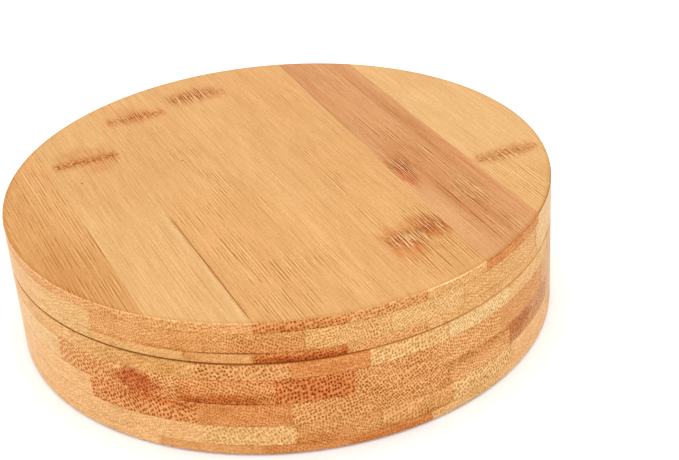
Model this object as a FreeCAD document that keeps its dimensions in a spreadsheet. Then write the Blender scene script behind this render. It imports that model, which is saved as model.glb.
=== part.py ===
import FreeCAD, Part
import os

import Sketcher
from FreeCAD import Vector

# Lazy susan turntable: a bamboo platter that turns on a bamboo base of the same diameter.
# A square ball-bearing swivel plate sits in a round pocket in the base's top.
# Frame: origin at the centre of the underside, where the feet touch the table, +Z up.
# Each sub-part is drawn in the boards' own frame, with x across the grain and y along it,
# and its Placement turns that frame about Z and lifts the sub-part to its height.

DOC = FreeCAD.newDocument("LazySusan")
SHEET = DOC.addObject("Spreadsheet::Sheet", "Sizes")

# Driving dimensions, in millimetres and degrees: alias, value, what it is.
SIZES = (
    ("disc_diameter", 158.75, "outside diameter of platter and base, 6 1/4 in"),
    ("grain_angle", 20.5, "turn of the boards' frame about Z, degrees"),
    ("rim_radius", 0.4, "eased edge of each rim"),
    ("platter_top_ply", 3.05, "thickness"),
    ("platter_core_ply", 6.05, "thickness"),
    ("platter_bottom_ply", 3.05, "thickness"),
    ("seam_gap", 0.3, "running gap between platter and base"),
    ("base_ply_1", 4.95, "thickness, uppermost ply of the base"),
    ("base_ply_2", 7.4, "thickness"),
    ("base_ply_3", 6.9, "thickness"),
    ("base_ply_4", 6.1, "thickness"),
    ("base_ply_5", 2.975, "thickness, lowest ply of the base"),
    ("foot_proud", 0.5, "how far the feet stand below the base"),
    ("foot_diameter", 12.7, "rubber foot, 1/2 in"),
    ("foot_edge", 0.35, "rounding of a foot's lower edge"),
    ("foot_recess", 1.4, "depth of the counterbore that holds a foot"),
    ("foot_recess_diameter", 13.1, "counterbore for a foot"),
    ("foot_circle_radius", 60.0, "where the feet stand"),
    ("pocket_diameter", 108.0, "round pocket for the swivel"),
    ("access_diameter", 19.05, "hole for driving the platter's screws, 3/4 in"),
    ("screw_circle_radius", 46.0, "where the swivel's mounting holes are"),
    ("swivel_thickness", 7.94, "over both plates, 5/16 in"),
    ("plate_side", 76.2, "side of the square swivel plates, 3 in"),
    ("plate_corner", 6.0, "corner radius of the plates"),
    ("plate_hole_diameter", 4.4, "mounting hole in a plate"),
    ("sheet_thickness", 1.0, "pressed steel of the plates"),
    ("ball_diameter", 3.97, "steel ball, 5/32 in"),
    ("ball_circle_radius", 22.6, "pitch radius of the balls"),
    ("race_radius", 2.05, "section radius of the pressed raceway"),
    ("ledge_height", 2.9, "top of the raised ring beside the raceway"),
    ("ring_outer_radius", 30.5, "where the raised ring's skirt ends under the flat"),
    ("slope_foot_radius", 28.8, "foot of the raised ring's slope"),
    ("slope_head_radius", 26.4, "head of the raised ring's slope"),
    ("slope_under_radius", 27.2, "head of the slope on the hollow side"),
    ("collar_bore_radius", 17.2, "bore of the lower plate's collar"),
    ("collar_drop", 0.65, "from the upper plate's face down to the rolled collar"),
    ("collar_flange_radius", 20.6, "edge of the collar rolled over the upper plate"),
    ("lip_radius", 18.7, "bore of the upper plate's inner lip"),
    ("lip_step_radius", 20.95, "where the upper plate's lip steps up past the collar"),
    ("cage_thickness", 1.2, "ball cage"),
    ("cage_inner_radius", 19.6, "ball cage"),
    ("cage_outer_radius", 25.6, "ball cage"),
    ("cage_play", 0.06, "radial play of a ball in its cage hole"),
    ("screw_diameter", 3.5, "wood screw"),
    ("screw_length", 9.0, "wood screw, under its head"),
    ("screw_tip", 2.2, "length of the screw's point"),
    ("screw_play", 0.02, "radial play of a screw in its pilot hole"),
    ("pilot_spare", 0.3, "depth of a pilot hole past the screw's point"),
    ("head_diameter", 7.0, "pan head"),
    ("head_height", 2.2, "pan head"),
    ("head_crown", 0.9, "height of the pan head's sloping edge"),
    ("cross_width", 0.9, "blade width of the head's cross recess"),
    ("cross_span", 3.6, "length of the head's cross recess"),
    ("cross_depth", 1.3, "depth of the head's cross recess"),
    ("joint_reach", 80.0, "distance along the grain at which the strip joints are given"),
)

# Where the top ply's strips meet, across the grain: at +joint_reach and at -joint_reach.
STRIP_JOINTS = (
    (-58.5, -58.5),
    (-36.5, -36.5),
    (-14.4, -14.4),
    (7.8, 7.8),
    (31.5, 27.2),
    (51.9, 51.9),
    (73.9, 73.9),
)

BASE_PLIES = 5
SCREWS = 4
FEET = 4
BALLS = 16
CORNER = 45

XY = "XY_Plane"
XZ = "XZ_Plane"
THROUGH_ALL = 1

NODES = []


def size(alias):
    return f"Sizes.{alias}"


def total(*aliases):
    return "(" + " + ".join(size(alias) for alias in aliases) + ")"


def fill_sheet():
    cells = list(SIZES)
    for number, (far, near) in enumerate(STRIP_JOINTS, start=1):
        cells.append((f"joint_{number}_far", far, "strip joint across the grain"))
        cells.append((f"joint_{number}_near", near, "strip joint across the grain"))
    for row, (alias, value, meaning) in enumerate(cells, start=1):
        SHEET.set(f"A{row}", meaning)
        SHEET.set(f"B{row}", str(value))
        SHEET.setAlias(f"B{row}", alias)
    DOC.recompute()


def keep(piece, label, height, turn="0", radius="0"):
    """Name a finished sub-part and bind its place: turned about Z, out along its x, lifted."""
    piece.Label = label
    angle = f"({size('grain_angle')} + {turn})"
    centre = f"vector({radius} * cos({angle}); {radius} * sin({angle}); {height})"
    piece.setExpression("Placement", f"placement({centre}; rotation(vector(0; 0; 1); {angle}))")
    NODES.append(piece)


def origin_part(body, role):
    """The body's own origin plane or axis with this role."""
    return next(item for item in body.Origin.OriginFeatures if item.Role == role)


def new_sketch(body, name, role=XY, height="0"):
    sketch = body.newObject("Sketcher::SketchObject", name)
    sketch.AttachmentSupport = [(origin_part(body, role), "")]
    sketch.MapMode = "FlatFace"
    sketch.setExpression("AttachmentOffset.Base.z", height)
    return sketch


def bind(sketch, kind, expression, *where):
    """Add a dimension to a sketch and bind it to the sheet."""
    value = SHEET.evalExpression(expression)
    index = sketch.addConstraint(Sketcher.Constraint(kind, *where, value))
    sketch.setExpression(f"Constraints[{index}]", expression)


def draw_circle(sketch, diameter, x="0", y="0"):
    centre = Vector(SHEET.evalExpression(x), SHEET.evalExpression(y), 0)
    start_radius = SHEET.evalExpression(diameter) / 2
    circle = sketch.addGeometry(Part.Circle(centre, Vector(0, 0, 1), start_radius), False)
    bind(sketch, "Diameter", diameter, circle)
    bind(sketch, "DistanceX", x, -1, 1, circle, 3)
    bind(sketch, "DistanceY", y, -1, 1, circle, 3)


def draw_polygon(sketch, corners):
    """A closed outline whose corners' x and y are expressions on the sheet."""
    points = [Vector(SHEET.evalExpression(x), SHEET.evalExpression(y), 0) for x, y in corners]
    first = len(sketch.Geometry)
    count = len(points)
    for index, point in enumerate(points):
        line = Part.LineSegment(point, points[(index + 1) % count])
        sketch.addGeometry(line, False)
    for index, (x, y) in enumerate(corners):
        line = first + index
        following = first + (index + 1) % count
        sketch.addConstraint(Sketcher.Constraint("Coincident", line, 2, following, 1))
        bind(sketch, "DistanceX", x, -1, 1, line, 1)
        bind(sketch, "DistanceY", y, -1, 1, line, 1)


def pad(body, sketch, length):
    feature = body.newObject("PartDesign::Pad", f"{sketch.Name}_pad")
    feature.Profile = sketch
    feature.setExpression("Length", length)
    DOC.recompute()
    return feature


def revolve(body, sketch, axis="V_Axis"):
    feature = body.newObject("PartDesign::Revolution", f"{sketch.Name}_turned")
    feature.Profile = sketch
    feature.ReferenceAxis = (sketch, [axis])
    feature.Angle = 360
    DOC.recompute()
    return feature


def cut(body, sketch, depth=None, upward=False):
    """Pocket a sketch, right through if no depth is given, and check that it cut something."""
    before = body.Shape.Volume
    feature = body.newObject("PartDesign::Pocket", f"{sketch.Name}_cut")
    feature.Profile = sketch
    feature.Reversed = upward
    if depth is None:
        feature.Type = THROUGH_ALL
    else:
        feature.setExpression("Length", depth)
    DOC.recompute()
    if body.Shape.Volume >= before:
        raise RuntimeError(f"{feature.Name} cut nothing")
    return feature


def repeat(body, features, count):
    """Repeat features round the body's Z axis."""
    pattern = body.newObject("PartDesign::PolarPattern", f"{features[-1].Name}_ring")
    pattern.Originals = features
    pattern.Axis = (origin_part(body, "Z_Axis"), [""])
    pattern.Angle = 360
    pattern.Occurrences = count
    body.Tip = pattern
    DOC.recompute()


def round_edges(body, feature, radius, wanted):
    """Fillet the edges of a feature that the test picks out."""
    names = [f"Edge{i}" for i, edge in enumerate(feature.Shape.Edges, start=1) if wanted(edge)]
    fillet = body.newObject("PartDesign::Fillet", f"{feature.Name}_rounded")
    fillet.Base = (feature, names)
    fillet.setExpression("Radius", radius)
    DOC.recompute()
    return fillet


def is_circle_at(height):
    level = SHEET.evalExpression(height)

    def wanted(edge):
        box = edge.BoundBox
        return len(edge.Vertexes) == 1 and abs(box.ZMin - level) + abs(box.ZMax - level) < 1e-6

    return wanted


def is_upright(edge):
    return edge.BoundBox.ZLength > 1e-3 and edge.BoundBox.DiagonalLength - edge.BoundBox.ZLength < 1e-6


def disc(name, thickness, rim=None):
    """A round ply, its top or bottom rim eased by two small facets if rim names that side."""
    radius = f"({size('disc_diameter')} / 2)"
    eased = size("rim_radius")
    facet = f"({eased} * (1 - cos({CORNER})))"
    corners = [("0", "0"), (radius, "0"), (radius, thickness), ("0", thickness)]
    if rim == "top":
        corners[2:3] = [(radius, f"{thickness} - {eased}"),
                        (f"{radius} - {facet}", f"{thickness} - {facet}"),
                        (f"{radius} - {eased}", thickness)]
    if rim == "bottom":
        corners[1:2] = [(f"{radius} - {eased}", "0"),
                        (f"{radius} - {facet}", facet),
                        (radius, eased)]
    body = DOC.addObject("PartDesign::Body", name)
    section = new_sketch(body, f"{name}_section", XZ)
    draw_polygon(section, corners)
    revolve(body, section)
    return body


def hole(body, name, diameter, height, depth=None, radius="0", turn="0", upward=False):
    """A round hole whose mouth is at this height, at a place given by radius and turn."""
    sketch = new_sketch(body, name, height=height)
    draw_circle(sketch, diameter, f"{radius} * cos({turn})", f"{radius} * sin({turn})")
    return cut(body, sketch, depth, upward)


def pilot_holes(body, name, height, depth=None, upward=False):
    diameter = f"{size('screw_diameter')} + 2 * {size('screw_play')}"
    first = hole(body, f"{name}_pilot", diameter, height, depth,
                 size("screw_circle_radius"), str(CORNER), upward)
    repeat(body, [first], SCREWS)


def access_hole(body, name, height):
    hole(body, f"{name}_access", size("access_diameter"), height,
         radius=size("screw_circle_radius"))


# Heights of the stack, worked out from the foot upward.
PLIES_UPWARD = [f"base_ply_{number}" for number in range(BASE_PLIES, 0, -1)]
BASE_TOP = total("foot_proud", *PLIES_UPWARD)
PLATTER_UNDERSIDE = f"({BASE_TOP} + {size('seam_gap')})"
POCKET_DEPTH = f"({size('swivel_thickness')} - {size('seam_gap')})"
POCKET_FLOOR = f"({BASE_TOP} - {POCKET_DEPTH})"
SCREW_IN_WOOD = f"({size('screw_length')} - {size('sheet_thickness')})"
BALL_LEVEL = f"({size('swivel_thickness')} / 2)"


def build_base():
    """Five plies, the upper two opened out for the swivel, the lower four bored for access."""
    ring = disc("base_ring", size("base_ply_1"), rim="top")
    hole(ring, "swivel_opening", size("pocket_diameter"), size("base_ply_1"))
    keep(ring, "base_ply_1", f"{BASE_TOP} - {size('base_ply_1')}")

    pocketed = disc("base_pocketed", size("base_ply_2"))
    rest_of_pocket = f"({POCKET_DEPTH} - {size('base_ply_1')})"
    hole(pocketed, "swivel_pocket", size("pocket_diameter"), size("base_ply_2"), rest_of_pocket)
    pilot_holes(pocketed, "floor", size("base_ply_2"))
    access_hole(pocketed, "floor", size("base_ply_2"))
    keep(pocketed, "base_ply_2", total("foot_proud", *PLIES_UPWARD[:3]))

    middle = disc("base_middle", size("base_ply_3"))
    above = f"({size('base_ply_2')} - {rest_of_pocket})"
    pilot_holes(middle, "middle", size("base_ply_3"),
                f"{SCREW_IN_WOOD} - {above} + {size('pilot_spare')}")
    access_hole(middle, "middle", size("base_ply_3"))
    keep(middle, "base_ply_3", total("foot_proud", *PLIES_UPWARD[:2]))

    lower = disc("base_lower", size("base_ply_4"))
    access_hole(lower, "lower", size("base_ply_4"))
    keep(lower, "base_ply_4", total("foot_proud", *PLIES_UPWARD[:1]))

    bottom = disc("base_bottom", size("base_ply_5"), rim="bottom")
    access_hole(bottom, "bottom", size("base_ply_5"))
    recess = hole(bottom, "foot_recess", size("foot_recess_diameter"), "0",
                  size("foot_recess"), size("foot_circle_radius"), str(CORNER), upward=True)
    repeat(bottom, [recess], FEET)
    keep(bottom, "base_ply_5", size("foot_proud"))


def build_feet():
    """Round rubber feet stuck in the counterbores, standing a little proud of the wood."""
    for number in range(1, FEET + 1):
        body = DOC.addObject("PartDesign::Body", f"foot_{number}")
        outline = new_sketch(body, f"foot_{number}_outline")
        draw_circle(outline, size("foot_diameter"))
        block = pad(body, outline, f"{size('foot_recess')} + {size('foot_proud')}")
        round_edges(body, block, size("foot_edge"), is_circle_at("0"))
        turn = str(CORNER + (number - 1) * 360 / FEET)
        keep(body, f"rubber_foot_{number}", "0", turn, size("foot_circle_radius"))


def build_platter():
    """A bottom ply and a core ply in one piece each, and a top ply of strips edge to edge."""
    bottom = disc("platter_bottom", size("platter_bottom_ply"), rim="bottom")
    pilot_holes(bottom, "underside", size("platter_bottom_ply"))
    keep(bottom, "platter_bottom_ply", PLATTER_UNDERSIDE)

    core = disc("platter_core", size("platter_core_ply"))
    depth = f"{SCREW_IN_WOOD} - {size('platter_bottom_ply')} + {size('pilot_spare')}"
    pilot_holes(core, "core", "0", depth, upward=True)
    core_height = f"({PLATTER_UNDERSIDE} + {size('platter_bottom_ply')})"
    keep(core, "platter_core_ply", core_height)

    blank = disc("top_blank", size("platter_top_ply"), rim="top")
    reach = size("joint_reach")
    last = len(STRIP_JOINTS)
    for number in range(last + 1):
        left = [size(f"joint_{number}_{end}") if number else f"-{reach}" for end in ("near", "far")]
        right = [size(f"joint_{number + 1}_{end}") if number < last else reach
                 for end in ("far", "near")]
        body = DOC.addObject("PartDesign::Body", f"strip_{number + 1}")
        outline = new_sketch(body, f"strip_{number + 1}_outline")
        draw_polygon(outline, ((left[0], f"-{reach}"), (left[1], reach),
                               (right[0], reach), (right[1], f"-{reach}")))
        pad(body, outline, size("platter_top_ply"))
        strip = DOC.addObject("Part::Common", f"top_strip_{number + 1}")
        strip.Base = body
        strip.Tool = blank
        keep(strip, f"platter_top_strip_{number + 1}",
             f"{core_height} + {size('platter_core_ply')}")


def lower_profile():
    """Section of the lower plate's raised ring, its collar and the flange rolled over it."""
    under = f"({BALL_LEVEL} - {size('race_radius')} - {size('sheet_thickness')})"
    sheet = size("sheet_thickness")
    collar_outside = f"({size('collar_bore_radius')} + {sheet})"
    collar_top = f"({size('swivel_thickness')} - {size('collar_drop')})"
    return (
        (size("ring_outer_radius"), "0"),
        (f"{size('slope_under_radius')} + {sheet}", "0"),
        (size("slope_under_radius"), under),
        (f"{collar_outside} + {sheet} / 2", under),
        (size("collar_bore_radius"), f"{under} + {sheet}"),
        (size("collar_bore_radius"), collar_top),
        (size("collar_flange_radius"), collar_top),
        (size("collar_flange_radius"), f"{collar_top} - {sheet} * 0.9"),
        (collar_outside, f"{collar_top} - {sheet} * 0.9"),
        (collar_outside, size("ledge_height")),
        (size("slope_head_radius"), size("ledge_height")),
        (size("slope_foot_radius"), sheet),
        (size("ring_outer_radius"), sheet),
    )


def upper_profile():
    """Section of the upper plate's ring, measured down from its flat face."""
    under = f"({BALL_LEVEL} - {size('race_radius')} - {size('sheet_thickness')})"
    sheet = size("sheet_thickness")
    return (
        (size("ring_outer_radius"), "0"),
        (f"{size('slope_under_radius')} + {sheet}", "0"),
        (size("slope_under_radius"), under),
        (f"{size('lip_step_radius')} + {sheet} / 3", under),
        (size("lip_step_radius"), f"{size('ledge_height')} - {sheet}"),
        (size("lip_radius"), f"{size('ledge_height')} - {sheet}"),
        (size("lip_radius"), size("ledge_height")),
        (size("slope_head_radius"), size("ledge_height")),
        (size("slope_foot_radius"), sheet),
        (size("ring_outer_radius"), sheet),
    )


def swivel_plate(name, profile, level, flat_bottom):
    """A pressed square plate: raised ring, square flat with corner holes, ball raceway."""
    body = DOC.addObject("PartDesign::Body", name)
    section = new_sketch(body, f"{name}_section", XZ)
    draw_polygon(section, [(radius, level(height)) for radius, height in profile])
    revolve(body, section)

    half = f"({size('plate_side')} / 2)"
    square = new_sketch(body, f"{name}_square", height=flat_bottom)
    draw_polygon(square, ((f"-{half}", f"-{half}"), (half, f"-{half}"),
                          (half, half), (f"-{half}", half)))
    draw_circle(square, f"2 * {size('slope_foot_radius')}")
    flat = pad(body, square, size("sheet_thickness"))
    round_edges(body, flat, size("plate_corner"), is_upright)

    before = body.Shape.Volume
    ball = new_sketch(body, f"{name}_race", XZ)
    draw_circle(ball, f"2 * {size('race_radius')}", size("ball_circle_radius"), BALL_LEVEL)
    race = body.newObject("PartDesign::Groove", f"{name}_raceway")
    race.Profile = ball
    race.ReferenceAxis = (ball, ["V_Axis"])
    race.Angle = 360
    DOC.recompute()
    if body.Shape.Volume >= before:
        raise RuntimeError(f"{name} has no raceway")

    first = hole(body, f"{name}_corner", size("plate_hole_diameter"),
                 f"{flat_bottom} + {size('sheet_thickness')}",
                 radius=size("screw_circle_radius"), turn=str(CORNER))
    repeat(body, [first], SCREWS)
    return body


def build_swivel():
    lower = swivel_plate("lower_plate", lower_profile(), lambda height: height, "0")
    keep(lower, "swivel_lower_plate", POCKET_FLOOR)

    thickness = size("swivel_thickness")
    upper = swivel_plate("upper_plate", upper_profile(),
                         lambda height: f"{thickness} - ({height})",
                         f"({thickness} - {size('sheet_thickness')})")
    keep(upper, "swivel_upper_plate", POCKET_FLOOR)

    cage = DOC.addObject("PartDesign::Body", "cage")
    outline = new_sketch(cage, "cage_outline", height=f"-{size('cage_thickness')} / 2")
    draw_circle(outline, f"2 * {size('cage_outer_radius')}")
    draw_circle(outline, f"2 * {size('cage_inner_radius')}")
    pad(cage, outline, size("cage_thickness"))
    window = hole(cage, "cage_window", f"{size('ball_diameter')} + 2 * {size('cage_play')}",
                  f"{size('cage_thickness')} / 2", radius=size("ball_circle_radius"))
    repeat(cage, [window], BALLS)
    keep(cage, "swivel_ball_cage", f"{POCKET_FLOOR} + {BALL_LEVEL}")

    balls = DOC.addObject("Part::Compound", "ball_ring")
    ring = []
    for number in range(BALLS):
        ball = DOC.addObject("Part::Sphere", f"ball_{number + 1}")
        ball.setExpression("Radius", f"{size('ball_diameter')} / 2")
        angle = str(number * 360 / BALLS)
        ball.setExpression("Placement.Base.x", f"{size('ball_circle_radius')} * cos({angle})")
        ball.setExpression("Placement.Base.y", f"{size('ball_circle_radius')} * sin({angle})")
        ring.append(ball)
    balls.Links = ring
    keep(balls, "swivel_balls", f"{POCKET_FLOOR} + {BALL_LEVEL}")


def screw_set(name, label, side, height):
    """Four pan-head wood screws; side is 1 with the heads up and -1 with the heads down."""
    body = DOC.addObject("PartDesign::Body", name)
    centre = size("screw_circle_radius")
    head = f"{side} * {size('head_height')}"
    crown_foot = f"{side} * ({size('head_height')} - {size('head_crown')})"
    point = f"{-side} * {size('screw_length')}"
    shoulder = f"{-side} * ({size('screw_length')} - {size('screw_tip')})"
    shank = f"{centre} + {size('screw_diameter')} / 2"
    section = new_sketch(body, f"{name}_section", XZ)
    draw_polygon(section, (
        (centre, point),
        (shank, shoulder),
        (shank, "0"),
        (f"{centre} + {size('head_diameter')} / 2", "0"),
        (f"{centre} + {size('head_diameter')} / 2", crown_foot),
        (f"{centre} + {size('head_diameter')} / 2 - {size('head_crown')}", head),
        (centre, head),
    ))
    side_count = 7
    screw = revolve(body, section, f"Edge{side_count}")

    blade = f"({size('cross_width')} / 2)"
    span = f"({size('cross_span')} / 2)"
    cross = new_sketch(body, f"{name}_cross", height=head)
    arms = (
        (span, blade), (blade, blade), (blade, span), (f"-{blade}", span),
        (f"-{blade}", blade), (f"-{span}", blade), (f"-{span}", f"-{blade}"),
        (f"-{blade}", f"-{blade}"), (f"-{blade}", f"-{span}"), (blade, f"-{span}"),
        (blade, f"-{blade}"), (span, f"-{blade}"),
    )
    draw_polygon(cross, [(f"{centre} + {x}", y) for x, y in arms])
    recess = cut(body, cross, size("cross_depth"), upward=side < 0)
    repeat(body, [screw, recess], SCREWS)
    keep(body, label, height, turn=str(CORNER))


def build_screws():
    screw_set("lower_screws", "base_screws", 1, f"{POCKET_FLOOR} + {size('sheet_thickness')}")
    screw_set("upper_screws", "platter_screws", -1,
              f"{PLATTER_UNDERSIDE} - {size('sheet_thickness')}")


def check_document():
    for item in DOC.Objects:
        if "Invalid" in item.State or "Error" in item.State:
            raise RuntimeError(f"{item.Label} failed: {item.State}")
    for node in NODES:
        if node.Shape.isNull() or not node.Shape.isValid():
            raise RuntimeError(f"{node.Label} has no valid shape")


fill_sheet()
build_base()
build_feet()
build_platter()
build_swivel()
build_screws()
DOC.recompute()
check_document()

os.makedirs("parts", exist_ok=True)
for node in NODES:
    node.Shape.exportStep(os.path.join("parts", f"{node.Label}.step"))
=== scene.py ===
import math

import bpy
from mathutils import Matrix, Vector


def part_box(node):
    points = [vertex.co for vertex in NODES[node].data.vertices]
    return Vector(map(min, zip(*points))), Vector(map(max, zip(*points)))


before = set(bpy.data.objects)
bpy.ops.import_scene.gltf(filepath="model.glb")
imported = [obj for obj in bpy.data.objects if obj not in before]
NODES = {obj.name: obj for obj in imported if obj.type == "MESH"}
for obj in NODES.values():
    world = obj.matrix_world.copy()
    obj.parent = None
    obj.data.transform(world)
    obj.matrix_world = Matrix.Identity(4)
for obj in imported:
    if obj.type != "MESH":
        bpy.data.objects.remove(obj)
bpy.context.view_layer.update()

# Looks for the bamboo lazy susan turntable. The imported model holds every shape; this script
# gives each part its finish, and adds the table, the light and the camera.
# The bamboo materials use the grain frame: across is the distance across the grain, along the
# distance along it and up the height, all in millimetres from the object's origin.

MM_PER_M = 1000.0
GRAIN_ANGLE = math.radians(20.5)

# Under this scene's light a surface shows its pigment times the light level, plus the glare.
LIGHT_LEVEL = 1.52
GLARE = 0.014
DISPLAY_GAMMA = 2.2
LEAST_PIGMENT = 0.003

# The sockets a Mix node uses when it mixes colours.
MIX_AMOUNT, MIX_A, MIX_B, MIX_RESULT = 0, 6, 7, 2


class Recipe:
    """Shorthand for building one material's node tree. Values are numbers, colours or sockets."""

    def __init__(self, name):
        self.material = bpy.data.materials.new(name)
        self.material.use_nodes = True
        self.tree = self.material.node_tree
        self.shader = self.tree.nodes["Principled BSDF"]

    def feed(self, socket, value):
        if isinstance(value, bpy.types.NodeSocket):
            self.tree.links.new(value, socket)
        elif isinstance(value, tuple) and len(value) == 3 and socket.type == "RGBA":
            socket.default_value = (*value, 1.0)
        else:
            socket.default_value = value

    def node(self, kind, **settings):
        made = self.tree.nodes.new(kind)
        for name, value in settings.items():
            setattr(made, name, value)
        return made

    def maths(self, operation, *values):
        made = self.node("ShaderNodeMath", operation=operation)
        for socket, value in zip(made.inputs, values):
            self.feed(socket, value)
        return made.outputs[0]

    def add(self, total, *others):
        for other in others:
            total = self.maths("ADD", total, other)
        return total

    def subtract(self, a, b):
        return self.maths("SUBTRACT", a, b)

    def times(self, a, b):
        return self.maths("MULTIPLY", a, b)

    def divide(self, a, b):
        return self.maths("DIVIDE", a, b)

    def swing(self, noise, amount):
        """Noise made to lie evenly about nothing, times an amount."""
        return self.times(self.subtract(noise, 0.5), amount)

    def fade(self, value, start, end, low=0.0, high=1.0):
        """A smooth step from low at start to high at end; start may be above end."""
        made = self.node("ShaderNodeMapRange", interpolation_type="SMOOTHSTEP")
        for name, number in (("Value", value), ("From Min", start), ("From Max", end),
                             ("To Min", low), ("To Max", high)):
            self.feed(made.inputs[name], number)
        return made.outputs["Result"]

    def bell(self, distance, width):
        """One at distance zero, falling smoothly to nothing at about twice the width."""
        scaled = self.divide(distance, width)
        return self.maths("EXPONENT", self.times(self.times(scaled, scaled), -1.0))

    def vector(self, x, y, z):
        made = self.node("ShaderNodeCombineXYZ")
        for socket, value in zip(made.inputs, (x, y, z)):
            self.feed(socket, value)
        return made.outputs[0]

    def coordinates(self, vector):
        made = self.node("ShaderNodeSeparateXYZ")
        self.feed(made.inputs[0], vector)
        return made.outputs

    def place(self, scale):
        """The point's place in metres from the object's origin, scaled."""
        made = self.node("ShaderNodeVectorMath", operation="SCALE")
        self.feed(made.inputs[0], self.node("ShaderNodeTexCoord").outputs["Object"])
        made.inputs["Scale"].default_value = scale
        return made.outputs[0]

    def noise(self, vector, detail, roughness=0.5):
        made = self.node("ShaderNodeTexNoise")
        self.feed(made.inputs["Vector"], vector)
        made.inputs["Scale"].default_value = 1.0
        made.inputs["Detail"].default_value = detail
        made.inputs["Roughness"].default_value = roughness
        return made.outputs["Fac"]

    def cells(self, x, y, randomness):
        """Distance to the middle of the nearest cell in a plane of cells one apart."""
        made = self.node("ShaderNodeTexVoronoi", voronoi_dimensions="2D")
        self.feed(made.inputs["Vector"], self.vector(x, y, 0.0))
        made.inputs["Scale"].default_value = 1.0
        made.inputs["Randomness"].default_value = randomness
        return made.outputs["Distance"]

    def mix(self, amount, a, b, blend="MIX"):
        made = self.node("ShaderNodeMix", data_type="RGBA", blend_type=blend)
        self.feed(made.inputs[MIX_AMOUNT], amount)
        self.feed(made.inputs[MIX_A], a)
        self.feed(made.inputs[MIX_B], b)
        return made.outputs[MIX_RESULT]

    def tint(self, colour, amount, tint):
        """The colour multiplied by a tint, as far as the amount says."""
        return self.mix(amount, colour, tint, "MULTIPLY")

    def split(self, colour):
        made = self.node("ShaderNodeSeparateColor")
        self.feed(made.inputs[0], colour)
        return made.outputs

    def brighten(self, colour, amount):
        """The colour with every channel raised by the same amount."""
        made = self.node("ShaderNodeVectorMath", operation="ADD")
        self.feed(made.inputs[0], colour)
        self.feed(made.inputs[1], amount)
        return made.outputs[0]

    def pigment(self, colour):
        """The pigment a surface needs to be seen as this display colour in this light."""
        light = self.node("ShaderNodeGamma")
        self.feed(light.inputs["Color"], colour)
        light.inputs["Gamma"].default_value = DISPLAY_GAMMA
        scaled = self.node("ShaderNodeVectorMath", operation="MULTIPLY_ADD")
        self.feed(scaled.inputs[0], light.outputs[0])
        scaled.inputs[1].default_value = (1 / LIGHT_LEVEL,) * 3
        scaled.inputs[2].default_value = (-GLARE / LIGHT_LEVEL,) * 3
        least = self.node("ShaderNodeVectorMath", operation="MAXIMUM")
        self.feed(least.inputs[0], scaled.outputs[0])
        least.inputs[1].default_value = (LEAST_PIGMENT,) * 3
        return least.outputs[0]

    def bump(self, height, distance, strength):
        made = self.node("ShaderNodeBump")
        self.feed(made.inputs["Height"], height)
        made.inputs["Distance"].default_value = distance
        made.inputs["Strength"].default_value = strength
        self.feed(self.shader.inputs["Normal"], made.outputs["Normal"])

    def set(self, **values):
        """Set the shader's sockets; a name's underscores stand for spaces."""
        for name, value in values.items():
            self.feed(self.shader.inputs[name.replace("_", " ")], value)


def finish_node(name, material):
    """Give a CAD node its material."""
    data = NODES[name].data
    data.materials.clear()
    data.materials.append(material)


# ---------------------------------------------------------------------------------- bamboo

# Tones of single strips of bamboo as they look in this light, each channel 0 to 255.
TONES = {
    "pale": (226, 172, 116),
    "ivory": (240, 194, 134),
    "peach": (244, 187, 127),
    "cream": (237, 184, 122),
    "straw": (233, 175, 112),
    "tan": (231, 166, 105),
    "honey": (225, 158, 98),
    "clay": (222, 158, 105),
    "amber": (222, 147, 88),
    "russet": (213, 131, 73),
    "brick": (208, 129, 72),
    "mauve": (211, 148, 98),
}

WHITE = (1.0, 1.0, 1.0)
BLACK = (0.0, 0.0, 0.0)
PALEST_THREAD = (1.0, 0.87, 0.62)

# Tints, which multiply the display colour.
WARM = (0.968, 0.934, 0.888)
RED = (0.94, 0.79, 0.72)
DEEP_RED = (0.85, 0.65, 0.56)
BROWN = (0.904, 0.8, 0.69)
CLEAR = (1.02, 1.04, 1.044)
STAIN = (0.89, 0.72, 0.58)
# Painted shade in the seam, and dark lines at ply joints and along a crack.
SHADE_AND_DARK_LINE = (0.63, 0.5, 0.36)
PALER = (1.036, 1.061, 1.086)
# Painted light on the faces inside the seam.
PAINTED_SEAM_LIGHT = (1.08, 1.04, 0.98)
PAINTED_SEAM_GLOW = (1.14, 1.12, 1.06)
EDGE_PALE = (1.03, 1.06, 1.11)
EDGE_DARK = (0.7, 0.52, 0.38)
EDGE_BROWN = (0.924, 0.872, 0.805)

# Millimetres: the object's radius, and a distance across the grain that is past its edge.
RADIUS = 79.375
EDGE = 82.0

# Noise on a flat face: its scale across and along the grain, per millimetre, what it adds to
# the material's seed, how many finer layers it has and how strong they are.
SLOW = (0.1, 0.014, 0.0, 3.0, 0.5)
BAND = (0.6, 0.02, 0.0, 3.0, 0.6)
FIBRE = (1.7, 0.06, 0.0, 3.0, 0.7)
PORE = (1.5, 0.9, 0.0, 2.0, 0.6)
GATHER = (0.14, 0.03, 3.0, 1.5, 0.5)
RAGGED = (0.9, 0.085, 9.0, 2.0, 0.6)
STRAY = (0.42, 0.012, 7.0, 2.0, 0.5)
SWAY = (0.45, 0.0, 0.0, 2.5, 0.6)
BLOBS = (0.95, 0.8, 11.0, 2.5, 0.65)
FUZZ = (2.5, 0.09, 5.0, 2.0, 0.6)
FRAY = (0.8, 0.07, 41.0, 3.0, 0.7)
THREADS = (1.6, 0.07, 47.0, 2.0, 0.5)
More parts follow.
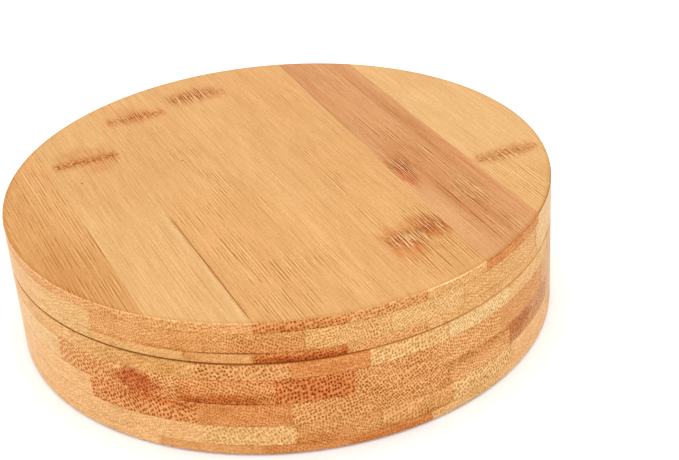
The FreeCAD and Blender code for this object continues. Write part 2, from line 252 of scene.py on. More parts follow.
# Noise on the wall: its scale around and up, then the same as above.
WANDER_AROUND = (0.08, 0.11, 0.0, 0.5, 0.5)
WANDER_UP = (0.09, 0.11, 31.0, 0.5, 0.5)
UNEVEN = (0.3, 0.5, 5.0, 2.0, 0.5)
GRIT = (2.1, 2.1, 0.0, 3.0, 0.75)
CLOUD = (0.16, 0.45, 0.0, 3.0, 0.6)
TATTER = (0.5, 0.5, 17.0, 2.5, 0.6)
MOTTLE = (0.8, 1.5, 23.0, 2.0, 0.7)
PATCHY = (0.09, 0.0, 0.0, 2.0, 0.5)

# How much each kind of mark raises or lowers every channel of the display colour.
SLOW_DEPTH = 0.1
BAND_DEPTH = 0.07
FIBRE_DEPTH = 0.2
PORE_DEPTH = 0.13
LINE_DEPTH = -0.24
BANK_LIFT = 0.11
KNUCKLE_DEPTH = -0.24
FLECK_LIFT = 0.2
SPECK_DEPTH = -0.24
GROOVE_DEPTH = -0.22
RIM_BAND_DEPTH = -0.06
BUNDLE_DEPTH = -0.25
FLESH_LIFT = 0.075
GRIT_DEPTH = 0.36
GRIT_BUNDLE_DEPTH = 0.3
CLOUD_DEPTH = 0.2
MOTTLE_DEPTH = 0.22
SKIN_DEPTH = -0.09
PLY_GLUE_DEPTH = -0.132
STRIP_GLUE_DEPTH = -0.088

# Ranges for fade: where it starts and ends, then its low and high values if not 0 and 1.
# How level a surface is: about 0 on the wall, 1 on a flat face, and between on an eased rim.
FACE_RANGE = (0.35, 0.85)
BEVEL_START, BEVEL_END = (0.1, 0.4), (0.97, 0.8)
# Distance from an oval's middle, as a share of its half width.
OVAL_RANGE = (1.25, 0.5)
FRAYED_OVAL_RANGE = (1.25, 0.4)
# Distance from a bundle's middle, in cells.
DOT_RANGE = (0.41, 0.17)
FLESH_RANGE = (0.28, 0.5)
# Millimetres across the grain, at the left-hand end of the wall.
END_BUNDLE_RANGE = (-79.0, -74.0, 0.3, 1.0)
# A painted sheen: the wall grows lighter towards its left-hand end.
END_SHEEN_RANGE = (-68.0, -78.0, 0.0, 0.02)
# Millimetres across and along the grain: the part of the wall that runs with the grain.
LONG_SIDE_ACROSS, LONG_SIDE_ALONG = (50.0, 62.0), (-38.0, -28.0)
# Millimetres from the axis, near the rim.
RIM_BAND_RANGE = (RADIUS - 1.6, RADIUS - 0.3)
# The share of a strip's half thickness towards its skin.
SKIN_RANGE = (-0.4, 1.0)
# Values of noise.
UNEVEN_RANGE = (0.3, 0.65, 0.5, 1.0)
PATCHY_RANGE = (0.35, 0.65, 0.05, 1.0)
GRIT_RANGE = (0.3, 0.6)
GATHER_RANGE = (0.42, 0.65)
RAGGED_RANGE = (0.42, 0.58)
SCRIBBLE_RANGE = (0.46, 0.6)
FLECK_RANGE = (0.42, 0.32)
THREAD_RANGE = (0.5, 0.6)
BESIDE_RANGE = (0.48, 0.56)
NOT_THREAD_RANGE = (0.55, 0.48)
FRAYED_PATCH_RANGE = (0.36, 0.6, 0.45, 1.15)


def seen(tone):
    return tuple(value / 255 for value in TONES[tone])


class Grain:
    """The grain frame's coordinates and the masks every bamboo material shares."""

    def __init__(self, recipe, seed):
        self.recipe = r = recipe
        self.seed = seed
        turn = r.node("ShaderNodeMapping", vector_type="POINT")
        turn.inputs["Rotation"].default_value = (0.0, 0.0, -GRAIN_ANGLE)
        turn.inputs["Scale"].default_value = (MM_PER_M, MM_PER_M, MM_PER_M)
        r.feed(turn.inputs["Vector"], r.node("ShaderNodeTexCoord").outputs["Object"])
        self.across, self.along, self.up = r.coordinates(turn.outputs[0])
        self.arc = r.times(r.maths("ARCTAN2", self.across, r.times(self.along, -1.0)), RADIUS)
        normal = r.node("ShaderNodeNewGeometry").outputs["Normal"]
        level = r.maths("ABSOLUTE", r.coordinates(normal)[2])
        self.flat = r.fade(level, *FACE_RANGE)
        self.cut = r.subtract(1.0, self.flat)
        self.bevel = r.times(r.fade(level, *BEVEL_START), r.fade(level, *BEVEL_END))

    def face_noise(self, kind, shift=0.0):
        """Noise on a flat face, moved across the grain by a shift."""
        r = self.recipe
        across, along, offset, detail, roughness = kind
        side = r.add(self.across, shift) if shift else self.across
        forward = r.add(r.times(self.along, along), self.seed + offset)
        return r.noise(r.vector(r.times(side, across), forward, 0.0), detail, roughness)

    def wall_noise(self, kind):
        """Noise on the wall unrolled flat."""
        r = self.recipe
        around, up, offset, detail, roughness = kind
        seed = self.seed + offset
        return r.noise(r.vector(r.add(r.times(self.arc, around), seed), r.times(self.up, up),
                                seed), detail, roughness)

    def by_strip(self, stops, smooth=False):
        """A colour chosen by the distance across: each stop is where its colour starts, or
        lies if smooth."""
        r = self.recipe
        width = 2 * EDGE
        made = r.node("ShaderNodeValToRGB")
        r.feed(made.inputs["Fac"], r.divide(r.add(self.across, EDGE), width))
        ramp = made.color_ramp
        ramp.interpolation = "LINEAR" if smooth else "CONSTANT"
        while len(ramp.elements) < len(stops):
            ramp.elements.new(0.5)
        for element, (start, colour) in zip(ramp.elements, stops):
            element.position = (start + EDGE) / width
            element.color = (*colour, 1.0)
        return made.outputs["Color"]


# How much noise moves a frayed oval's edge, in shares of its half width.
FRAY_REACH = 2.0


def oval(r, u, v, middle_u, middle_v, wide, high, fray=None):
    """One inside an oval, falling softly to nothing outside it; noise may fray its edge."""
    distance = r.maths("SQRT", r.add(
        r.maths("POWER", r.divide(r.subtract(u, middle_u), wide), 2.0),
        r.maths("POWER", r.divide(r.subtract(v, middle_v), high), 2.0)))
    if fray is None:
        return r.fade(distance, *OVAL_RANGE)
    return r.fade(r.add(distance, r.swing(fray, FRAY_REACH)), *FRAYED_OVAL_RANGE)


# The rows of fibre bundles, in millimetres: how far they wander, the least distance between
# bundles and what a coarse strip adds to it, and how that differs around the wall and up it.
ROW_WANDER = 3.6
BUNDLE_PITCH, COARSE_PITCH = 0.66, 0.44
PITCH_AROUND, PITCH_UP = 0.92, 1.28
# The rows' slants and starts, which change from strip to strip.
ROW_SLANTS = (0.8, 1.0, 0.1)
ROW_STEEPNESS = 0.8
ROW_START_STEP, ROW_START_REACH = 0.37, 60.0
BUNDLE_RANDOMNESS = 0.5
GLUE_WIDTH = 0.3
# A stain lower than this has a smooth edge. One that ends at a strip's joint ends this sharply.
LEAST_FRAYED_HEIGHT = 0.5
JOINT_BLUR = 0.1


def cut_side(r, g, strips, bottom, top, blooms, colour):
    """The end grain on a wall: fibre bundles in leaning rows, light flesh between them."""
    strength, coarse, skin = r.split(g.by_strip(
        [(start, (strong, rough, 0.5 + side / 2)) for start, _, strong, rough, side in strips]))
    slant, row_start, _ = r.split(g.by_strip(
        [(strip[0], (ROW_SLANTS[i % len(ROW_SLANTS)], i * ROW_START_STEP % 1, 0.0))
         for i, strip in enumerate(strips)]))
    middle = (bottom + top) / 2
    half = (top - bottom) / 2
    skinward = r.times(r.divide(r.subtract(g.up, middle), half),
                       r.subtract(r.times(skin, 2.0), 1.0))

    # The rows of bundles wander, and are turned one way or the other from strip to strip.
    pitch = r.add(BUNDLE_PITCH, r.times(coarse, COARSE_PITCH))
    x = r.divide(r.add(g.arc, r.swing(g.wall_noise(WANDER_AROUND), ROW_WANDER)),
                 r.times(pitch, PITCH_AROUND))
    z = r.divide(r.add(g.up, r.swing(g.wall_noise(WANDER_UP), ROW_WANDER)),
                 r.times(pitch, PITCH_UP))
    lean = r.subtract(slant, 0.5)
    row = r.subtract(z, r.times(r.times(x, lean), ROW_STEEPNESS))
    distance = r.cells(r.add(x, r.times(z, lean)),
                       r.add(row, r.times(row_start, ROW_START_REACH)), BUNDLE_RANDOMNESS)
    uneven = r.fade(g.wall_noise(UNEVEN), *UNEVEN_RANGE)
    ends = r.times(r.fade(g.across, *END_BUNDLE_RANGE), strength)
    flesh = r.times(r.fade(distance, *FLESH_RANGE), ends)
    dots = r.times(r.fade(distance, *DOT_RANGE), r.times(ends, uneven))

    grit = g.wall_noise(GRIT)
    tatter = g.wall_noise(TATTER)
    rough = r.add(GRIT_DEPTH, r.times(strength, GRIT_BUNDLE_DEPTH))
    # Grit, clouds, mottle, a darker skin, light flesh, a painted sheen towards the left-hand end,
    # and the dark bundles.
    shade = r.add(r.swing(grit, rough), r.swing(g.wall_noise(CLOUD), CLOUD_DEPTH),
                  r.swing(g.wall_noise(MOTTLE), MOTTLE_DEPTH),
                  r.times(r.fade(skinward, *SKIN_RANGE), SKIN_DEPTH),
                  r.times(flesh, FLESH_LIFT), r.fade(g.across, *END_SHEEN_RANGE),
                  r.times(dots, BUNDLE_DEPTH))
    colour = r.brighten(colour, shade)
    # Stains and dark lines, and painted shade along the seam.
    for middle_u, middle_v, wide, high, tint, amount, *joint in blooms:
        stain_and_shade = oval(r, g.across, g.up, middle_u, middle_v, wide, high,
                     None if high < LEAST_FRAYED_HEIGHT else tatter)
        if joint:
            stain_and_shade = r.times(stain_and_shade, r.fade(g.across, joint[0] - JOINT_BLUR,
                                          joint[0] + JOINT_BLUR))
        colour = r.tint(colour, r.times(stain_and_shade, amount), tint)

    # The glue lines to the plies above and below.
    gap = r.maths("MINIMUM", r.subtract(g.up, bottom), r.subtract(top, g.up))
    line = r.times(r.fade(gap, GLUE_WIDTH, 0.0), r.fade(g.wall_noise(PATCHY), *PATCHY_RANGE))
    return r.brighten(colour, r.times(line, PLY_GLUE_DEPTH)), dots, grit


# The grain lines: the distance between them in millimetres, how far they stray and where
# their lit banks lie, as shares of that distance, how sharp they are, and the least of them
# that shows anywhere.
LINE_PITCH = 0.92
LINE_STRAY = 2.0
BANK_SHIFT = 0.34
RIDGE_SHARPNESS = 5.0
LEAST_GATHER = 0.2


def ridge(r, phase, shift):
    """A narrow ridge once in every turn of the phase."""
    turn = r.times(r.add(phase, shift), math.tau)
    level = r.add(0.5, r.times(r.maths("COSINE", turn), 0.5))
    return r.maths("POWER", level, RIDGE_SHARPNESS)


def flat_face(r, g, colour, streaks, fields):
    """The long grain on a face: slow bands, fibres, and dark grooves, each with a lit bank."""
    fibre = g.face_noise(FIBRE)
    gather = r.fade(g.face_noise(GATHER), *GATHER_RANGE, LEAST_GATHER, streaks)
    for middle_u, middle_v, wide, high, amount in fields:
        field = oval(r, g.across, g.along, middle_u, middle_v, wide, high)
        gather = r.maths("MAXIMUM", gather, r.times(field, amount))
    ragged = r.fade(g.face_noise(RAGGED), *RAGGED_RANGE)
    phase = r.add(r.divide(g.across, LINE_PITCH), r.times(g.face_noise(STRAY), LINE_STRAY))
    lines = r.times(r.times(ridge(r, phase, 0.0), ragged), gather)
    banks = r.times(r.times(ridge(r, phase, BANK_SHIFT), ragged), gather)
    shade = r.add(r.swing(g.face_noise(SLOW), SLOW_DEPTH),
                  r.swing(g.face_noise(BAND), BAND_DEPTH), r.swing(fibre, FIBRE_DEPTH),
                  r.swing(g.face_noise(PORE), PORE_DEPTH), r.times(lines, LINE_DEPTH),
                  r.times(banks, BANK_LIFT))
    return r.brighten(colour, shade), lines, fibre


# A knuckle's parts as shares of its width: how far its line sways, and the widths of the
# line, of the scribbles round it and of the haze round those.
SWAY_SHARE = 2.4
KNUCKLE_LINE_SHARE, SCRIBBLE_SHARE, HAZE_SHARE = 0.4, 1.2, 1.3
# How far past the strip's joint the knuckle starts, and how far inside it is whole.
KNUCKLE_PAST, KNUCKLE_INSIDE = 0.2, 1.2
# How strong its parts are.
LINE_LEAST, LINE_SCRIBBLE, SCRIBBLE_AMOUNT = 0.2, 0.8, 0.75
HAZE_RED, KNUCKLE_WARMTH = 0.5, 0.6


def knuckle_of(r, g, colour, left, right, along, slope, width, dark):
    """A band across a strip where the cane had a node: a wavy broken line among scribbles."""
    centre = (left + right) / 2
    run = r.subtract(g.along, r.add(along, r.times(r.subtract(g.across, centre), slope)))
    offset = r.add(run, r.swing(g.face_noise(SWAY), width * SWAY_SHARE))
    inside = r.times(r.fade(g.across, left - KNUCKLE_PAST, left + KNUCKLE_INSIDE),
                     r.fade(g.across, right + KNUCKLE_PAST, right - KNUCKLE_INSIDE))
    blobs = g.face_noise(BLOBS)
    scribble = r.fade(blobs, *SCRIBBLE_RANGE)
    line = r.times(r.bell(offset, width * KNUCKLE_LINE_SHARE),
                   r.add(LINE_LEAST, r.times(scribble, LINE_SCRIBBLE)))
    scribbles = r.times(r.bell(run, width * SCRIBBLE_SHARE), r.times(scribble, SCRIBBLE_AMOUNT))
    core = r.times(r.times(r.maths("MAXIMUM", line, scribbles), inside), dark)
    haze = r.times(r.bell(run, width * HAZE_SHARE), inside)
    colour = r.tint(colour, r.times(haze, dark * HAZE_RED), RED)
    colour = r.tint(colour, r.times(core, KNUCKLE_WARMTH), WARM)
    fleck = r.times(haze, r.fade(blobs, *FLECK_RANGE))
    shade = r.add(r.times(core, KNUCKLE_DEPTH), r.times(fleck, dark * FLECK_LIFT))
    return r.brighten(colour, shade), core


# How far beside a torn thread its groove lies, in millimetres, and how much a thread shows.
GROOVE_SHIFT = 0.28
THREAD_AMOUNT = 0.7


def scratch_of(r, g, colour, middle_u, middle_v, wide, high, amount):
    """Pale threads of torn fibre, each with a dark groove beside it."""
    where = r.times(oval(r, g.across, g.along, middle_u, middle_v, wide, high), amount)
    fuzz = g.face_noise(FUZZ)
    beside = g.face_noise(FUZZ, shift=GROOVE_SHIFT)
    thread = r.times(r.fade(fuzz, *THREAD_RANGE), where)
    groove = r.times(r.times(r.fade(beside, *BESIDE_RANGE), r.fade(fuzz, *NOT_THREAD_RANGE)),
                     where)
    colour = r.brighten(colour, r.times(groove, GROOVE_DEPTH))
    return r.mix(r.times(thread, THREAD_AMOUNT), colour, PALEST_THREAD), r.subtract(groove, thread)


# Millimetres: patches smaller than this each way are frayed; half a speck's width and length;
# and the distance over which a line along a joint fades in and out.
LEAST_SOFT_PATCH = 15.0
SPECK_SIZE = (0.28, 0.5)
EDGE_LINE_FADE = 8.0
# The share of the rim's painted highlight, and of the darkening just inside the rim, that shows
# everywhere; the rest comes and goes.
LEAST_RIM_SHARE = 0.4
# How deep each mark is in the bump, as shares of its height in metres, and how strong that is.
LINE_GROOVE, KNUCKLE_GROOVE, SCRATCH_GROOVE = -0.5, -0.5, -0.6
GRIT_HEIGHT, BUNDLE_HEIGHT = 0.4, -0.5
BUMP_HEIGHT, BUMP_STRENGTH = 0.00006, 0.6
ROUGHNESS, FIBRE_ROUGHNESS, BUNDLE_ROUGHNESS = 0.5, 0.14, 0.1


def marked_face(r, g, colour, look):
    """The flat face with all its marks, how deep they are, and its fibres."""
    fray = g.face_noise(FRAY)
    threads = r.fade(g.face_noise(THREADS), *FRAYED_PATCH_RANGE)
    # Patches of tone; on the faces inside the seam, painted shade and painted light.
    for middle_u, middle_v, wide, high, tint, amount in look.get("patches", ()):
        if max(wide, high) < LEAST_SOFT_PATCH:
            area = r.times(oval(r, g.across, g.along, middle_u, middle_v, wide, high, fray),
                           threads)
        else:
            area = oval(r, g.across, g.along, middle_u, middle_v, wide, high)
        colour = r.tint(colour, r.times(area, amount), tint)
    colour, lines, fibre = flat_face(r, g, colour, look["streaks"], look.get("fields", ()))
    depth = r.times(lines, LINE_GROOVE)
    for knuckle in look.get("knuckles", ()):
        colour, core = knuckle_of(r, g, colour, *knuckle)
        depth = r.add(depth, r.times(core, KNUCKLE_GROOVE))
    for scratch in look.get("scratches", ()):
        colour, gouge = scratch_of(r, g, colour, *scratch)
        depth = r.add(depth, r.times(gouge, SCRATCH_GROOVE))
    for across, along in look.get("specks", ()):
        speck = oval(r, g.across, g.along, across, along, *SPECK_SIZE)
        colour = r.brighten(colour, r.times(speck, SPECK_DEPTH))
    if "edge_line" in look:
        place, slope, start, end, width, tint, amount = look["edge_line"]
        beside = r.subtract(g.across, r.add(place, r.times(g.along, slope)))
        run = r.times(r.fade(g.along, start, start + EDGE_LINE_FADE),
                      r.fade(g.along, end, end - EDGE_LINE_FADE))
        colour = r.tint(colour, r.times(r.bell(beside, width), r.times(run, amount)), tint)
    return colour, depth, fibre


def bamboo(name, seed, strips, bottom, top, look):
    """The material of one ply or strip of bamboo between two heights in millimetres."""
    recipe = r = Recipe(name)
    g = Grain(recipe, seed)
    tone = g.by_strip([(strip[0], seen(strip[1])) for strip in strips])
    cut, dots, grit = cut_side(r, g, strips, bottom, top, look.get("blooms", ()), tone)
    if "long_side" in look:
        beyond = r.times(r.fade(g.across, *LONG_SIDE_ACROSS), r.fade(g.along, *LONG_SIDE_ALONG))
        cut = r.tint(cut, beyond, look["long_side"])

    face = seen(look["face"]) if "face" in look else tone
    flat, depth, fibre = marked_face(r, g, face, look)
    # The face grows a little darker just inside the rim.
    from_axis = r.maths("SQRT", r.add(r.times(g.across, g.across), r.times(g.along, g.along)))
    rim_band = r.times(r.fade(from_axis, *RIM_BAND_RANGE), r.fade(grit, *GRIT_RANGE, LEAST_RIM_SHARE))
    flat = r.brighten(flat, r.times(rim_band, RIM_BAND_DEPTH))

    colour = r.mix(g.flat, cut, flat)
    # The eased rim: a painted highlight where rim is above nought, darker where it is below.
    if "rim" in look:
        rim = look["rim"]
        colour = r.brighten(colour, r.times(
            g.bevel, r.fade(grit, *GRIT_RANGE, rim * LEAST_RIM_SHARE, rim)))
    if len(strips) > 1:
        stops = [(-EDGE, WHITE)]
        for joint, *_ in strips[1:]:
            stops += [(joint - GLUE_WIDTH, WHITE), (joint, BLACK), (joint + GLUE_WIDTH, WHITE)]
        beside = r.split(g.by_strip(stops, smooth=True))[0]
        colour = r.brighten(colour, r.times(r.subtract(1.0, beside), STRIP_GLUE_DEPTH))

    height = r.add(r.times(depth, g.flat), r.times(
        r.add(r.times(grit, GRIT_HEIGHT), r.times(dots, BUNDLE_HEIGHT)), g.cut))
    r.bump(height, BUMP_HEIGHT, BUMP_STRENGTH)
    r.set(Base_Color=r.pigment(colour),
          Roughness=r.add(ROUGHNESS, r.times(fibre, FIBRE_ROUGHNESS),
                          r.times(dots, BUNDLE_ROUGHNESS)))
    r.set(IOR=1.4, Specular_IOR_Level=0.15, Sheen_Weight=0.14, Sheen_Roughness=0.25)
    return recipe.material


# What each strip of the top ply looks like.
# face: the tone of its flat face. side: its cut side, as in PLIES. streaks: how strongly dark
# lines show outside its fields. rim: how much a painted highlight lightens its eased rim, or
# how much darker the rim is if negative.
# The marks are ovals, given by their middle's distance across and along, and half their width
# and length. patches: a tint and its amount. fields: how strongly dark lines show there.
# scratches: how much torn fibre shows. specks are given by their middles only.
# knuckles: their two ends across, their distance along, slope and width, and how dark they are.
# edge_line: a line beside a joint. Its distance across, its slope, its two ends along, its
# width, tint and amount.
TOP_STRIPS = {
    1: dict(face="straw", side=("tan", 0.5, 0.4, 0), streaks=0.8, rim=0.1,
            patches=((-68.0, 42.0, 10.0, 14.0, WARM, 0.5),
                     (-68.0, -38.0, 12.0, 36.0, WARM, 0.9), (-74.0, 0.0, 8.0, 60.0, WARM, 0.7),
                     (-68.0, 0.0, 16.0, 90.0, WARM, 0.45)),
            fields=((-66.0, 0.0, 10.0, 70.0, 0.55), (-63.0, 35.0, 4.0, 14.0, 0.8))),
    2: dict(face="cream", side=("tan", 0.5, 0.5, 0), streaks=0.25, rim=0.12,
            knuckles=((-57.2, -36.2, 37.3, 0.0, 1.9, 0.9),),
            patches=((-48.0, 0.0, 30.0, 90.0, WARM, 0.35), (-47.0, 22.0, 15.0, 26.0, WARM, 0.5),
                     (-50.0, 62.0, 18.0, 20.0, WARM, 0.3), (-47.0, 41.0, 11.0, 6.5, BROWN, 0.55),
                     (-44.0, 32.0, 6.0, 5.0, RED, 0.45), (-47.0, 37.0, 12.0, 3.0, RED, 0.3)),
            fields=((-46.5, -40.0, 4.0, 30.0, 0.35), (-39.0, 30.0, 2.0, 12.0, 0.7)),
            scratches=((-47.0, 37.0, 9.0, 4.0, 0.35),),
            specks=((-52.0, 24.0),),
            edge_line=(-37.5, 0.0, -72.0, 0.0, 0.8, EDGE_PALE, 1.0)),
    3: dict(face="straw", side=("amber", 0.8, 0.7, -1), streaks=0.4,
            knuckles=((-33.5, -13.6, 59.0, -0.06, 2.0, 0.6),),
            patches=((-25.0, 62.0, 9.0, 6.0, BROWN, 0.35), (-24.0, 58.5, 11.0, 4.5, RED, 0.6),
                     (-25.0, -42.0, 15.0, 38.0, WARM, 0.42)),
            fields=((-18.0, 4.0, 4.5, 11.0, 0.95), (-32.0, -15.0, 4.5, 8.0, 0.75),
                    (-23.0, -12.0, 5.5, 8.0, 0.8), (-28.0, -25.0, 1.8, 8.0, 0.9),
                    (-27.5, -35.0, 7.5, 8.0, 0.9), (-23.0, -51.0, 9.5, 7.0, 1.0),
                    (-25.0, -66.0, 10.0, 11.0, 0.8), (-31.5, 51.0, 4.0, 7.0, 0.6),
                    (-19.0, 26.0, 5.5, 11.0, 0.6), (-21.0, 49.0, 1.5, 8.0, 0.6)),
            scratches=((-25.0, 58.5, 8.0, 4.0, 0.6),),
            specks=((-21.5, 22.0),),
            edge_line=(-36.25, 0.0, -72.0, -6.0, 0.16, EDGE_DARK, 0.9)),
    4: dict(face="straw", side=("honey", 0.7, 0.6, 0), streaks=0.25, rim=0.08,
            knuckles=((-11.4, 8.6, 64.0, -0.1, 2.8, 0.55),),
            patches=((-2.0, 66.0, 9.0, 7.0, BROWN, 0.3), (-1.0, 64.0, 11.0, 5.5, RED, 0.65)),
            fields=((-11.0, -16.0, 4.0, 9.0, 0.5), (-8.0, -50.0, 6.0, 8.0, 0.65),
                    (-6.0, -65.0, 7.0, 10.0, 0.45), (-9.0, 66.0, 4.0, 6.0, 0.6)),
            scratches=((-3.0, 64.0, 9.0, 6.0, 0.8),)),
    5: dict(face="straw", side=("straw", 0.5, 0.3, 0), streaks=0.3, rim=0.2,
            knuckles=((8.2, 29.2, -52.5, 0.14, 3.0, 0.45),),
            patches=((19.0, 54.0, 15.0, 24.0, WARM, 0.5), (20.0, -62.0, 16.0, 20.0, WARM, 0.35),
                     (18.0, 10.0, 10.0, 40.0, WARM, 0.15), (12.5, -56.5, 6.0, 8.5, RED, 0.95),
                     (24.0, -50.5, 7.0, 6.5, RED, 0.85), (18.5, -51.0, 12.0, 7.0, BROWN, 0.35)),
            fields=((12.0, -15.0, 4.5, 12.0, 0.7), (10.5, -38.0, 4.0, 8.0, 0.7),
                    (24.0, -43.0, 6.5, 6.0, 0.85), (19.0, -65.0, 12.0, 11.0, 1.0),
                    (25.0, 45.0, 5.0, 12.0, 0.4), (13.5, 11.0, 4.0, 8.0, 0.85)),
            scratches=((15.5, -54.0, 7.0, 5.0, 1.0), (25.0, -49.5, 6.0, 6.5, 0.9))),
    6: dict(face="clay", side=("amber", 0.4, 0.3, 0), streaks=0.5, rim=-0.1,
            knuckles=((27.0, 36.0, -15.0, 0.0, 4.0, 0.35),),
            patches=((42.0, 0.0, 9.0, 75.0, WARM, 0.35), (41.0, -30.0, 8.0, 30.0, WARM, 0.45),
                     (36.0, 52.0, 5.0, 40.0, WARM, 0.2), (29.0, -46.0, 4.5, 34.0, CLEAR, 1.1),
                     (31.0, -20.5, 4.5, 8.5, RED, 0.95), (31.5, -13.0, 5.0, 6.0, BROWN, 0.45),
                     (39.0, -8.0, 8.0, 12.0, BROWN, 0.25),
                     (47.5, 30.0, 2.0, 60.0, BROWN, 0.3), (38.0, 22.0, 1.6, 40.0, CLEAR, 0.7),
                     (33.0, 50.0, 1.4, 30.0, BROWN, 0.3), (44.0, -22.0, 1.5, 34.0, CLEAR, 0.6),
                     (36.5, -42.0, 1.3, 30.0, BROWN, 0.25), (50.0, -20.0, 1.2, 40.0, RED, 0.3),
                     (42.0, 56.0, 1.6, 26.0, CLEAR, 0.5), (41.0, -56.0, 1.2, 20.0, RED, 0.25)),
            fields=((40.5, -10.0, 6.0, 10.0, 1.0), (41.0, -36.0, 7.5, 13.0, 1.0),
                    (40.0, -59.0, 6.0, 11.0, 0.8), (42.0, 49.0, 6.5, 15.0, 0.65),
                    (40.0, 7.0, 6.5, 8.0, 1.0), (31.0, -28.0, 3.5, 9.0, 0.6)),
            scratches=((32.8, -16.0, 3.6, 7.0, 1.0), (29.0, -20.0, 2.5, 6.0, 0.5),
                       (42.8, -38.0, 4.5, 13.0, 0.6), (41.0, -8.0, 4.0, 7.0, 0.35),
                       (43.0, -62.0, 5.0, 9.0, 0.35)),
            edge_line=(29.7, 0.027, 10.0, 76.0, 0.5, EDGE_BROWN, 0.8)),
    7: dict(face="cream", side=("ivory", 0.3, 0.3, 0), streaks=0.15, rim=-0.45,
            knuckles=((52.2, 73.9, -24.5, 0.0, 2.4, 0.6),),
            patches=((62.0, 42.0, 15.0, 16.0, WARM, 0.45), (60.0, -45.0, 14.0, 20.0, WARM, 0.6),
                     (62.0, -24.0, 12.0, 4.0, BROWN, 0.35), (63.0, -25.5, 12.0, 4.0, RED, 0.25)),
            fields=((58.0, -41.0, 8.0, 14.0, 0.8), (55.0, 27.0, 2.5, 7.0, 0.5)),
            scratches=((62.0, -25.0, 9.0, 3.5, 0.7),)),
    8: dict(face="cream", side=("pale", 0.2, 0.2, 0), streaks=0.2),
}

# The other plies, from the platter's core downward. Each strip: where it starts across the
# grain, its tone, how strong and how coarse its fibre bundles are, and which edge is its dark
# outer skin: -1 the lower, 1 the upper, 0 neither.
PLIES = {
    "platter_core_ply": (
        (-EDGE, "cream", 0.4, 0.2, 0), (-69.4, "tan", 0.5, 0.3, 0), (-47.3, "honey", 0.7, 0.2, 0),
        (-25.0, "straw", 0.7, 0.3, 0), (-3.0, "cream", 0.6, 0.3, 0), (19.1, "straw", 0.5, 0.1, 0),
        (50.0, "ivory", 0.6, 0.1, 0), (63.0, "pale", 0.3, 0.1, 0)),
    "platter_bottom_ply": (
        (-EDGE, "cream", 0.4, 0.2, 0), (-70.0, "straw", 0.3, 0.2, 0), (-52.0, "tan", 0.3, 0.1, 0),
        (-37.3, "brick", 0.7, 0.4, -1), (-15.3, "tan", 0.7, 0.2, 0), (7.0, "straw", 0.5, 0.2, 0),
        (29.0, "straw", 0.4, 0.1, 0), (51.0, "ivory", 0.3, 0.1, 0), (73.0, "pale", 0.2, 0.1, 0)),
    "base_ply_1": (
        (-EDGE, "straw", 0.5, 0.5, 0), (-50.4, "honey", 0.9, 0.8, 0), (-29.3, "amber", 0.4, 0.3, 0),
        (-9.3, "cream", 0.7, 0.7, 0), (13.6, "ivory", 0.7, 0.4, 0), (36.3, "cream", 0.3, 0.3, 0),
        (58.0, "pale", 0.3, 0.3, 0)),
    "base_ply_2": (
        (-EDGE, "ivory", 0.4, 0.4, 0), (-76.0, "tan", 1.0, 0.8, 0), (-54.4, "amber", 0.8, 0.4, -1),
        (-32.8, "russet", 1.0, 0.9, 0), (-13.9, "honey", 0.9, 0.5, 0), (10.0, "tan", 0.8, 0.4, 0),
        (32.4, "honey", 0.5, 0.2, 0), (54.0, "pale", 0.4, 0.2, 0)),
    "base_ply_3": (
        (-EDGE, "peach", 0.3, 0.2, 0), (-71.4, "amber", 1.0, 1.0, 0), (-51.0, "amber", 0.5, 0.2, 0),
        (-30.0, "honey", 0.9, 0.7, 0), (-8.7, "honey", 0.9, 0.35, 0), (13.5, "tan", 0.7, 0.4, 1),
        (36.3, "mauve", 0.6, 0.5, 0), (58.0, "pale", 0.2, 0.2, 0)),
    "base_ply_4": (
        (-EDGE, "peach", 0.4, 0.2, 0), (-50.4, "cream", 0.6, 0.8, 0), (-29.0, "honey", 0.6, 0.4, 0),
        (-7.0, "tan", 0.6, 0.6, -1), (14.6, "cream", 0.8, 0.9, 0), (37.0, "peach", 0.3, 0.4, 0),
        (59.0, "pale", 0.3, 0.3, 0)),
    "base_ply_5": (
        (-EDGE, "peach", 0.3, 0.2, 0), (-59.0, "tan", 0.2, 0.2, 0), (-37.0, "amber", 0.4, 0.3, 0),
        (-15.0, "amber", 0.4, 0.3, 0), (7.3, "cream", 0.5, 0.4, 0), (30.3, "peach", 0.3, 0.2, 0),
        (52.0, "peach", 0.3, 0.2, 0)),
}

# The tint of each ply's long side, where the wall on the right runs with the grain.
LONG_SIDES = {
    "platter_core_ply": (1.03, 1.02, 0.98), "platter_bottom_ply": (1.0, 0.95, 0.89),
    "base_ply_1": (1.04, 1.06, 1.05), "base_ply_2": (0.98, 0.92, 0.84),
    "base_ply_3": (1.03, 1.01, 0.96), "base_ply_4": (0.96, 0.87, 0.78),
    "base_ply_5": (1.03, 1.0, 0.95),
}

# Patches on the two faces that look into the seam, as in TOP_STRIPS: painted shade towards the
# left, and painted light in the middle and on the right.
SEAM_PATCHES = {
    node: ((-50.0, -40.0, 60.0, 70.0, SHADE_AND_DARK_LINE, shadow), (-22.0, -74.0, 30.0, 16.0, PAINTED_SEAM_GLOW, 1.0),
           (56.0, -50.0, 70.0, 90.0, PAINTED_SEAM_LIGHT, 1.0))
    for node, shadow in (("base_ply_1", 0.4), ("platter_bottom_ply", 0.2))
}
